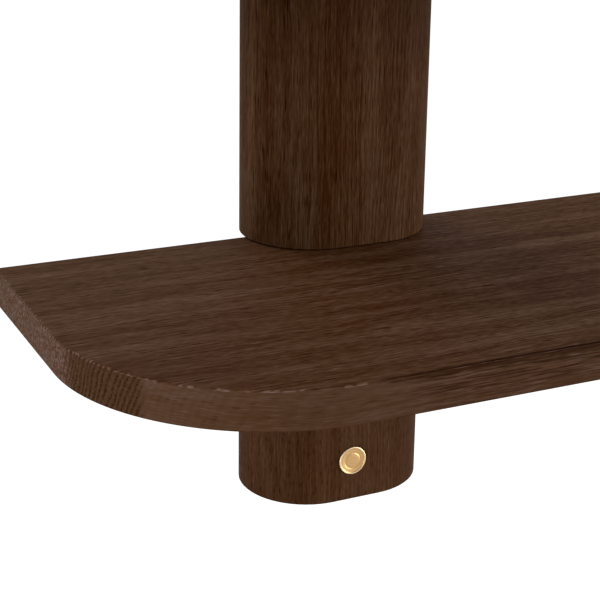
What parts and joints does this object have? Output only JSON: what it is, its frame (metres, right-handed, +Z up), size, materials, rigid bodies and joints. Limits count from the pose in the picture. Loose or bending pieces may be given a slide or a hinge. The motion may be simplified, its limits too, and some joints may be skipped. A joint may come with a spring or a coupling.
{
  "type": "wall shelf with brackets",
  "caption": "Oak board with large rounded front corners, clamped between upright wall posts of rounded section with brass buttons.",
  "frame": {"origin": "on the wall plane, midway between the two posts, level with the board's top face", "axes": "+X along the board to its right end, +Y into the wall, -Y to the front edge, +Z up"},
  "size_m": [0.9, 0.2358, 0.3936],
  "materials": {
    "oak_board": "smoked oak, matt oil",
    "oak_post": "smoked oak, matt oil",
    "oak_hidden": "smoked oak, sawn",
    "beech": "plain beech",
    "brass": "satin turned brass",
    "zinc_steel": "zinc plated steel",
    "black_steel": "black oxide steel",
    "rubber": "matt"
  },
  "bodies": {
    "root": {"shelf_board": "oak_board", "upper_post_left": "oak_post", "upper_post_right": "oak_post", "lower_post_left": "oak_post", "lower_post_right": "oak_post", "spacer_block_left": "oak_hidden", "spacer_block_right": "oak_hidden", "bolt_plug_left": "oak_hidden", "bolt_plug_right": "oak_hidden", "brass_button_left": "brass", "brass_button_right": "brass", "clamp_bolt_left": "black_steel", "clamp_bolt_right": "black_steel", "clamp_washer_left": "zinc_steel", "clamp_washer_right": "zinc_steel", "threaded_insert_left": "zinc_steel", "threaded_insert_right": "zinc_steel", "dowel_left_outer": "beech", "dowel_left_inner": "beech", "dowel_right_outer": "beech", "dowel_right_inner": "beech", "keyhole_plate_left": "zinc_steel", "keyhole_plate_right": "zinc_steel", "plate_screw_left_top": "zinc_steel", "plate_screw_left_bottom": "zinc_steel", "plate_screw_right_top": "zinc_steel", "plate_screw_right_bottom": "zinc_steel", "wall_bumper_left": "rubber", "wall_bumper_right": "rubber"}
  },
  "joints": []
}
